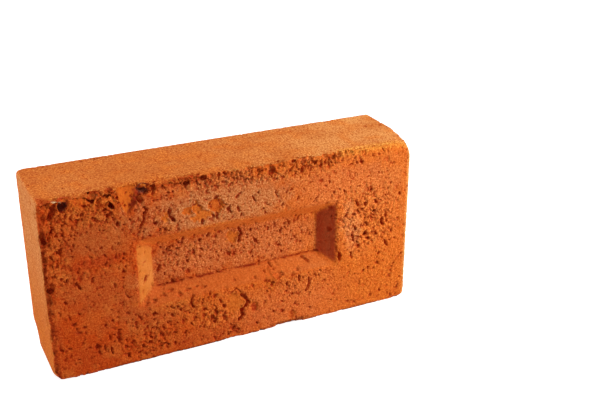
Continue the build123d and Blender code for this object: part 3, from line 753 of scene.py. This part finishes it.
knock((250, 0, 120), (-1, 0, -1), (15, 28, 13), 3.0)
knock((0, 0, 0), (1, 0.3, 1), (10, 10, 10), 1.6)
knock((0, 60, 0), (1, -0.6, 1), (18, 18, 18), 3.2)
knock((0, 60, 120), (1, -1, -1), (6, 6, 6), 0.8)
knock((250, 60, 0), (-1, -1, 1), (12, 12, 12), 2.0)
knock((250, 0, 0), (-1, 0.5, 1), (8, 8, 8), 0.5)
sunk = np.clip(sunk, np.array(low), np.array(high))
brick.data.vertices.foreach_set("co", sunk.astype(np.float32).ravel())
brick.data.update()

# The clay's colour, worked out with the skin: redder at the left end, which faced the fire, orange
# where it is freshly broken, dull where the mould's sand still sticks, and dark red in the pits;
# painted light and shade are laid over it in places, as said below.
left_clay = np.array((0.560, 0.067, 0.007))
right_clay = np.array((0.700, 0.152, 0.019))
brown_cloud = (0.500, 0.075, 0.011)
orange_cloud = (0.740, 0.180, 0.028)
clay_and_painted_light = left_clay + (right_clay - left_clay) * ramp(from_left, 15, 235)[:, None]


def paint(share, colour):
    """Lays a colour over the clay where the share is high."""
    clay_and_painted_light[:] += np.clip(share, 0, 1)[:, None] * (np.array(colour) - clay_and_painted_light)


paint(0.5 * mottle(8.0, 21), brown_cloud)
paint(0.5 * mottle(5.0, 22), orange_cloud)

# The upper side has weathered paler, most of all towards the right, with streaks along it.
upper_clay = (0.565, 0.143, 0.024)
upper_pale = (0.760, 0.300, 0.080)
upper_streaks = (0.620, 0.175, 0.034)
upper_orange = (0.660, 0.150, 0.016)
upper_brown = (0.530, 0.122, 0.019)
upper_rim = (0.600, 0.120, 0.012)
on_top = ramp(outward[:, 2], 0.55, 0.85)
paint(on_top, upper_clay)
paint(on_top * ramp(from_left, 70, 260), upper_pale)
paint(on_top * (0.35 + 0.5 * mottle(26, 23, along=9)), upper_streaks)
paint(on_top * 0.6 * mottle(7.0, 26), upper_orange)
paint(on_top * 0.5 * ramp(mottle(16.0, 36, along=7.0), 0, 0.8), upper_brown)
paint(on_top * 0.5 * ramp(behind, 9, 3) * ramp(from_left, 130, 90), upper_rim)

# The left end is paler too, and redder towards its foot and the plain bed.
end_clay = (0.605, 0.211, 0.058)
end_foot = (0.560, 0.130, 0.015)
end_rim = (0.680, 0.165, 0.022)
end_cloud = (0.560, 0.140, 0.024)
at_left_end = ramp(-outward[:, 0], 0.5, 0.8) * ramp(behind, 0.5, 3.0)
paint(at_left_end, end_clay)
paint(at_left_end * ramp(above, 105, 15) * 0.9, end_foot)
paint(at_left_end * ramp(behind, 50, 59), end_rim)
paint(at_left_end * 0.5 * mottle(9.0, 24), end_cloud)

# Moulding sand on the plain bed, the right end and the underside.
hidden_sand = (0.640, 0.160, 0.032)
hidden_sides = ramp(np.maximum.reduce([outward[:, 0], outward[:, 1], -outward[:, 2]]), 0.5, 0.8)
hidden_sides *= ramp(behind, 14, 16) + ramp(from_left, 244, 247) + ramp(above, 4, 2)
paint(hidden_sides * (0.65 + 0.35 * mottle(17.0, 41)), hidden_sand)

# Moulding sand on the bed with the frog: browner at its left end, grey above the frog.
brown_sand = patches(bed, (35, 92, 46, 26, 0.6), (65, 41, 60, 36, 0.5), (30, 58, 50, 26, 0.4))
grey_sand = patches(
    bed,
    (110, 98, 100, 32, 0.8), (125, 62, 116, 30, 0.42), (185, 98, 70, 30, 0.2),
    (225, 92, 40, 40, 0.3),
)
pink_sand = patches(
    bed,
    (150, 62, 70, 26, 0.4), (195, 96, 60, 30, 0.3), (150, 18, 110, 36, 0.38),
    (215, 70, 40, 40, 0.2), (96, 62, 44, 26, 0.4),
)
paint(brown_sand, (0.490, 0.112, 0.024))
paint(grey_sand, (0.600, 0.203, 0.062))
paint(pink_sand, (0.760, 0.190, 0.051))

# Reddish smears.
red_smear = (0.500, 0.060, 0.009)
paint(patches(
    bed,
    (30, 76, 38, 7, 0.9), (98, 22.5, 5, 4, 0.8), (16.5, 31, 5, 4, 0.7), (122, 57.5, 10, 7, 0.6),
    (146.5, 114, 6, 7, 0.8), (145, 37, 12, 16, 0.9), (118, 7, 12, 9, 0.6), (5, 30, 4, 24, 0.6),
    (182, 102, 4, 3, 0.7), (12, 106, 16, 16, 0.4), (100, 8, 60, 12, 0.4), (20, 12, 30, 16, 0.4),
), red_smear)

# Orange where the skin is rubbed away or chipped.
rubbed_clay = (0.740, 0.165, 0.017)
chipped_clay = (0.660, 0.142, 0.017)
paint(patches(
    bed,
    (108, 84.5, 50, 3.5, 0.7), (225, 20, 60, 44, 0.5), (232, 117, 40, 5, 0.8),
    (35, 116, 50, 9, 0.5), (120, 34, 60, 20, 0.35), (108, 24, 50, 26, 0.4),
    (212, 58, 30, 20, 0.4), (80, 36, 30, 12, 0.3), (125, 42, 130, 8, 0.6),
), rubbed_clay)
paint(fresh, chipped_clay)

# The rough ground: orange right of the frog, with lumps lightened partly by painted light, and
# painted shade in dark red in the gaps between them.
rough_clay = (0.860, 0.225, 0.040)
pale_grit = (0.860, 0.340, 0.120)
lump_clay_and_light = (0.860, 0.230, 0.036)
gap_shade = (0.420, 0.036, 0.006)
right_of_frog = patches(bed, (216, 66, 46, 48, 1.0))
paint(right_of_frog * 0.4, rough_clay)
paint(patches(bed, (206, 62, 14, 24, 1.0), (204, 76, 8, 14, 0.8)) * 0.5, pale_grit)
# Partly painted light on the raised lumps.
paint(rough * 0.4 * ramp(lumps, 0.4, 0.9), lump_clay_and_light)
# Painted shade in the low gaps between the lumps.
paint(rough * 0.6 * ramp(lumps, 0.35, 0.1), gap_shade)

# The wedge: a bright ramp, with painted shade in dark red on its right flank, which faces away from
# the lamp.
wedge_ramp = (0.680, 0.140, 0.014)
wedge_flank_shade = (0.300, 0.022, 0.009)
foot_at = (wedge_foot - low) * 1000
wedge_runs = (wedge_top - wedge_foot) * 1000
wedge_share = np.clip((above - foot_at.z) / wedge_runs.z, 0.01, 1)
from_wedge = np.hypot(
    (from_left - foot_at.x - wedge_runs.x * wedge_share) / (wedge_across / 2),
    (behind - foot_at.y - wedge_runs.y * wedge_share) / (wedge_deep / 2),
)
in_wedge = 0.9 * ramp(from_wedge / wedge_share, 1.12, 1.04) * ramp(behind, 0.3, 1.0)
paint(in_wedge, wedge_ramp)
# Painted shade where the wedge's surface faces left.
paint(in_wedge * ramp(outward[:, 0] + 0.35 * ragged, -0.15, -0.40), wedge_flank_shade)

# The bites out of the upper and the left arris: dark red inside at the left, partly clay and partly
# painted shade; orange at the right, painted light that lifts their shade.
bite_red_shade = (0.500, 0.060, 0.010)
bite_orange_light = (0.880, 0.240, 0.050)
bitten = ramp(np.minimum.reduce([behind, below, from_left, from_right]), 0.6, 2.2)
bitten *= ramp(behind, 12, 9) * ramp(below, 20, 16)
at_left_arris = ramp(np.minimum(behind, from_left), 0.6, 2.2) * ramp(behind + from_left, 14, 10)
bitten = np.maximum(bitten, at_left_arris)
right_part = ramp(from_left, 98, 128)
# Partly painted shade inside the bites at the left.
paint(0.7 * bitten * (1 - in_wedge) * (1 - right_part), bite_red_shade)
# Painted light inside the bites at the right, where they are shaded.
paint(0.9 * bitten * right_part, bite_orange_light)

# The frog's walls: the left one the brightest, partly clay and partly painted light; the right one
# the reddest, its darkness painted shade; the upper one, facing down, lightened with painted light.
left_wall_painted_light = (0.680, 0.195, 0.030)
left_wall_pale = (0.840, 0.320, 0.080)
right_wall_painted_shade = (0.480, 0.062, 0.017)
right_wall_streak = (0.560, 0.110, 0.030)
right_wall_cloud = (0.620, 0.120, 0.036)
upper_wall_painted_light = (0.760, 0.165, 0.022)
lower_wall_clay = (0.600, 0.113, 0.021)
in_frog = ramp(behind, 0.6, 1.6) * ramp(behind, 16, 13)
in_frog *= ramp(above, 35, 39.5) * ramp(above, 88, 84)
left_wall = in_frog * ramp(outward[:, 0], 0.35, 0.60) * ramp(from_left, 80, 76)
# Painted light: the left wall faces the lamp on the right.
paint(0.9 * left_wall, left_wall_painted_light)
paint(left_wall * 0.5 * mottle(6.0, 35), left_wall_pale)
right_wall = in_frog * ramp(outward[:, 0], -0.35, -0.60) * ramp(from_left, 178, 182)
# Painted shade: the right wall faces away from that lamp.
paint(0.95 * right_wall, right_wall_painted_shade)
paint(0.3 * right_wall * ramp(abs(from_left - 189), 3, 1), right_wall_streak)
paint(0.4 * right_wall * mottle(5.0, 42), right_wall_cloud)
upper_wall = in_frog * ramp(outward[:, 2], -0.25, -0.55)
# Painted light on the upper wall, which faces down into shade.
paint(0.8 * upper_wall, upper_wall_painted_light)
lower_wall = in_frog * ramp(outward[:, 2], 0.25, 0.55)
paint((0.7 - 0.20 * ramp(from_left, 100, 160)) * lower_wall, lower_wall_clay)

# Painted shade: the broken dark line in the valley where the frog's floor meets its lower wall.
valley_shade = (0.250, 0.016, 0.004)
off_valley = abs(above - 46.4 - 0.004 * (from_left - 72) - 0.4 * mottle(5.0, 33))
valley = ramp(off_valley, 0.8, 0.2) * ramp(mottle(3.0, 34), -0.3, 0.2)
valley *= ramp(behind, 7, 9) * ramp(abs(from_left - 128), 60, 56)
paint(0.9 * in_frog * valley, valley_shade)

# The arrises: yellow at the right of the upper one, dark along the left end, partly clay and partly
# painted shade, pale at the right end.
yellow_arris = (0.800, 0.290, 0.042)
dark_arris_and_shade = (0.330, 0.036, 0.006)
pale_arris = (0.790, 0.360, 0.090)
paint(0.7 * ramp(off_upper_arris, 5.5, 2.0) * ramp(from_left, 190, 200), yellow_arris)
on_left_arris = ramp(np.hypot(from_left, behind), 4.5, 1.5)
on_left_arris *= ramp(-outward[:, 0], 0.75, 0.45) * ramp(above, 114, 109)
# Partly painted shade, most where the rounding turns from the left end towards the bed.
paint(on_left_arris * (0.75 + 0.4 * mottle(3.0, 25)), dark_arris_and_shade)
paint(0.8 * ramp(np.hypot(from_right, behind), 3.0, 1.0), pale_arris)

# Dark red in the pits and the crumbled parts, partly clay and partly painted shade in the hollows,
# apart from the frog's lower wall and the right of the upper arris, where they are hardly darker.
pit_red_and_shade = (0.420, 0.034, 0.006)
crumbled_red_and_shade = (0.500, 0.062, 0.009)
even_ground = np.maximum(0.85 * lower_wall_alone, 0.8 * right_part * ramp(off_upper_arris, 8, 5))
paint(0.8 * (1 - even_ground) * ramp(pitted - 0.9 * fresh, 0.10, 1.0), pit_red_and_shade)
paint(0.6 * (1 - even_ground) * ramp(hollow - pitted, 0.7, 2.6), crumbled_red_and_shade)

# Painted shade inside the two deep holes in the upper arris, and the pale flake beside the left
# one.
hole_shade = (0.280, 0.066, 0.036)
flake_pale = (0.780, 0.500, 0.240)
holes = patches(bed, (15.4, 115.4, 7.0, 10.0, 1.0), (63.0, 117.2, 6.0, 6.0, 1.0))
paint(holes * ramp(behind, 1.5, 3.5), hole_shade)
flake = np.hypot((from_left - 11.9) / 2.7, np.hypot(behind - 1.6, above - 119.6) / 1.9)
paint(ramp(flake, 1.1, 0.8), flake_pale)

# The foot of the bed: painted shadow in its bite and along the underside of the lower arris.
foot_shadow = (0.120, 0.020, 0.006)
paint(patches(bed, (160, 2.4, 24, 2.6, 0.85)), foot_shadow)
shaded_foot = ramp(above, 1.8, 0.7) * ramp(mottle(9.0, 37), -0.4, 0.2) * ramp(from_left, 20, 40)
paint(0.8 * bed_side * shaded_foot, foot_shadow)


def keep(name, kind, slot, values):
    """Keeps a field on the brick's mesh, where its material reads it."""
    layer = brick.data.attributes.new(name, kind, "POINT")
    layer.data.foreach_set(slot, values.astype(np.float32).ravel())


# The clay field holds painted light and shade as well as the clay's colour.
keep("clay", "FLOAT_COLOR", "color", np.column_stack([clay_and_painted_light, np.ones(count)]))
keep("torn", "FLOAT", "value", np.clip(0.15 + rough + 0.3 * bed_side, 0, 1))
bare = left_wall + right_wall + 0.6 * upper_wall + 0.6 * lower_wall + in_wedge + 0.5 * fresh
sanded = 0.72 + 0.28 * np.clip(on_top + grey_sand + pink_sand, 0, 1)
sanded *= 1 - 0.85 * np.clip(bare, 0, 1)
keep("sanded", "FLOAT", "value", sanded)

# Fewer triangles where the skin is even. The thinning needs a large mesh, so each millimetre is a
# metre while it runs, and afterwards no corner is left outside the block.
most_triangles = 196000
weight_of_plainness = 0.02


def rescale(factor):
    """Makes the brick's mesh larger or smaller about the origin."""
    bpy.ops.transform.resize(value=(factor, factor, factor), center_override=(0, 0, 0))
    bpy.ops.object.transform_apply(location=True, rotation=True, scale=True)


bpy.ops.object.select_all(action="DESELECT")
brick.select_set(True)
bpy.context.view_layer.objects.active = brick
plainer = brick.vertex_groups.new(name="plainer")
plainer.add(range(count), 0.5, "REPLACE")
for facing in (plain_bed, under, right_end):
    plainer.add(facing[0].tolist(), 1.0, "REPLACE")
for facing in (upper, left_end):
    plainer.add(facing[0].tolist(), 0.65, "REPLACE")
fewer = brick.modifiers.new("fewer", "DECIMATE")
fewer.ratio = most_triangles / (2 * count)
fewer.vertex_group = plainer.name
fewer.vertex_group_factor = weight_of_plainness
rescale(1000)
bpy.ops.object.modifier_apply(modifier=fewer.name)
rescale(0.001)
for vertex in brick.data.vertices:
    vertex.co = [min(max(at, least), most) for at, least, most in zip(vertex.co, low, high)]
bpy.ops.object.select_all(action="DESELECT")
brick.select_set(True)
bpy.context.view_layer.objects.active = brick
bpy.ops.object.shade_smooth()

# The finish of the fired clay: matt, with dark specks and pale grains of moulding sand over its
# colour, and a fine sandy relief that is rougher where the skin is torn.
clay = bpy.data.materials.new("fired_clay")
clay.use_nodes = True
nodes, links = clay.node_tree.nodes, clay.node_tree.links
shader = nodes["Principled BSDF"]
shader.inputs["Roughness"].default_value = 0.92
shader.inputs["Specular IOR Level"].default_value = 0.04
on_brick = nodes.new("ShaderNodeTexCoord").outputs["Object"]


def mottling(across, detail, roughness, low_end, high_end):
    """Random patches of this size in metres, from 0 to 1."""
    noise = nodes.new("ShaderNodeTexNoise")
    noise.inputs["Scale"].default_value = 1 / across
    noise.inputs["Detail"].default_value = detail
    noise.inputs["Roughness"].default_value = roughness
    links.new(on_brick, noise.inputs["Vector"])
    spread = nodes.new("ShaderNodeMapRange")
    spread.inputs["From Min"].default_value = low_end
    spread.inputs["From Max"].default_value = high_end
    links.new(noise.outputs["Fac"], spread.inputs["Value"])
    return spread.outputs["Result"]


def worn(name):
    """One of the fields that were worked out with the skin."""
    layer = nodes.new("ShaderNodeAttribute")
    layer.attribute_name = name
    return layer.outputs["Fac"]


def times(value, by, plus=0.0):
    """Multiplies a value, then adds to it."""
    product_and_sum = nodes.new("ShaderNodeMath")
    product_and_sum.operation = "MULTIPLY_ADD"
    links.new(value, product_and_sum.inputs[0])
    if isinstance(by, float):
        product_and_sum.inputs[1].default_value = by
    else:
        links.new(by, product_and_sum.inputs[1])
    product_and_sum.inputs[2].default_value = plus
    product_and_sum.use_clamp = True
    return product_and_sum.outputs["Value"]


def tint(ground, by, share):
    """Multiplies the ground by a colour where the share is high."""
    layer = nodes.new("ShaderNodeMix")
    layer.data_type = "RGBA"
    layer.blend_type = "MULTIPLY"
    links.new(share, layer.inputs["Factor"])
    links.new(ground, layer.inputs["A"])
    layer.inputs["B"].default_value = (*by, 1)
    return layer.outputs["Result"]


speck_tint = (0.66, 0.33, 0.24)
grain_tint = (1.30, 1.75, 2.10)
clay_and_painted_light_layer = nodes.new("ShaderNodeAttribute")
clay_and_painted_light_layer.attribute_name = "clay"
specks = mottling(0.0013, detail=2.0, roughness=0.8, low_end=0.50, high_end=0.62)
colour = tint(clay_and_painted_light_layer.outputs["Color"], speck_tint, times(specks, times(worn("sanded"), 1.15)))
grains = mottling(0.0011, detail=1.0, roughness=0.5, low_end=0.52, high_end=0.64)
colour = tint(colour, grain_tint, times(grains, times(worn("sanded"), 0.95)))
links.new(colour, shader.inputs["Base Color"])


def relief(across, detail, depth, strength, under=None):
    """Fine relief of this size and depth in metres, laid over the one under it."""
    noise = nodes.new("ShaderNodeTexNoise")
    noise.inputs["Scale"].default_value = 1 / across
    noise.inputs["Detail"].default_value = detail
    noise.inputs["Roughness"].default_value = 0.65
    links.new(on_brick, noise.inputs["Vector"])
    bump = nodes.new("ShaderNodeBump")
    bump.inputs["Distance"].default_value = depth
    links.new(strength, bump.inputs["Strength"])
    links.new(noise.outputs["Fac"], bump.inputs["Height"])
    if under:
        links.new(under, bump.inputs["Normal"])
    return bump.outputs["Normal"]


sandy_strength = times(worn("torn"), 0.3, plus=0.5)
sand = relief(across=0.0008, detail=1.0, depth=0.0003, strength=sandy_strength)
crust_strength = times(worn("torn"), 0.9, plus=0.1)
crust = relief(across=0.0020, detail=3.0, depth=0.0012, strength=crust_strength, under=sand)
links.new(crust, shader.inputs["Normal"])
brick.data.materials.clear()
brick.data.materials.append(clay)

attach(brick, "root")
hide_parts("brick")

# The studio: the brick stands on a sheet of pale paper that the camera sees as white. A faint even
# light comes from all round, and four soft lamps shine on the brick.
paper_across = 8
paper_grey = (0.7, 0.7, 0.7, 1)
paper_glow = 0.8
bpy.ops.object.select_all(action="DESELECT")
bpy.ops.mesh.primitive_plane_add(size=paper_across)
floor = bpy.context.object
floor.name = "studio_floor"
paper = bpy.data.materials.new("white_paper")
paper.use_nodes = True
tree = paper.node_tree
tree.nodes.clear()
sheet = tree.nodes.new("ShaderNodeBsdfDiffuse")
sheet.inputs["Color"].default_value = paper_grey
glow = tree.nodes.new("ShaderNodeEmission")
path = tree.nodes.new("ShaderNodeLightPath")
seen_now = tree.nodes.new("ShaderNodeMath")
seen_now.operation = "MAXIMUM"
level = tree.nodes.new("ShaderNodeMath")
level.operation = "MULTIPLY"
level.inputs[1].default_value = paper_glow
both = tree.nodes.new("ShaderNodeAddShader")
surface = tree.nodes.new("ShaderNodeOutputMaterial")
for given, taken in (
    (path.outputs["Is Camera Ray"], seen_now.inputs[0]),
    (path.outputs["Is Glossy Ray"], seen_now.inputs[1]),
    (seen_now.outputs["Value"], level.inputs[0]),
    (level.outputs["Value"], glow.inputs["Strength"]),
    (sheet.outputs["BSDF"], both.inputs[0]),
    (glow.outputs["Emission"], both.inputs[1]),
    (both.outputs["Shader"], surface.inputs["Surface"]),
):
    tree.links.new(given, taken)
floor.data.materials.append(paper)

# The faint even light.
sky_white = (1, 1, 1, 1)
sky_level = 0.12
world = bpy.data.worlds.new("studio")
bpy.context.scene.world = world
world.use_nodes = True
sky = world.node_tree.nodes["Background"]
sky.inputs["Color"].default_value = sky_white
sky.inputs["Strength"].default_value = sky_level

# The lamps: a small bright one from the right, and three broad ones that soften its shadows.
middle_of_brick = Vector((0, 0, 0.06))


def soft_lamp(name, toward, distance, width, level):
    """A round lamp, its distance and width in metres. A level of 1 lights a facing side fully."""
    lamp_place = middle_of_brick + Vector(toward).normalized() * distance
    bpy.ops.object.light_add(type="AREA", location=lamp_place)
    lamp = bpy.context.object
    lamp.name = name
    lamp.rotation_euler = Vector(toward).to_track_quat("Z", "Y").to_euler()
    lamp.data.shape = "DISK"
    lamp.data.size = width
    lamp.data.energy = level * (pi * distance) ** 2


soft_lamp("key", (0.56, -0.43, 0.22), 0.74, 0.11, 0.74)
soft_lamp("back", (-0.10, 0.80, 0.75), 1.3, 0.6, 0.66)
soft_lamp("rim", (-1.0, 0.20, 0.25), 1.3, 0.5, 0.56)
soft_lamp("overhead", (0.0, -0.40, 1.0), 1.3, 0.7, 0.34)

# The camera stands a little left of the brick and above it, as for the photo. Its angles are in
# degrees, and its lens and the width of its frame in millimetres.
camera_place = (-0.2074, -0.5311, 0.3353)
camera_dip = 23.58
camera_swing = -26.41
camera_roll = 0.23
lens = 56.6
frame_width = 36
aim = Euler((radians(90 - camera_dip), 0, radians(camera_swing))).to_matrix()
aim = aim @ Matrix.Rotation(radians(camera_roll), 3, "Z")
bpy.ops.object.camera_add(location=camera_place, rotation=aim.to_euler())
camera = bpy.context.object
camera.data.lens = lens
camera.data.sensor_width = frame_width
bpy.context.scene.camera = camera
bpy.context.scene.view_settings.view_transform = "Standard"
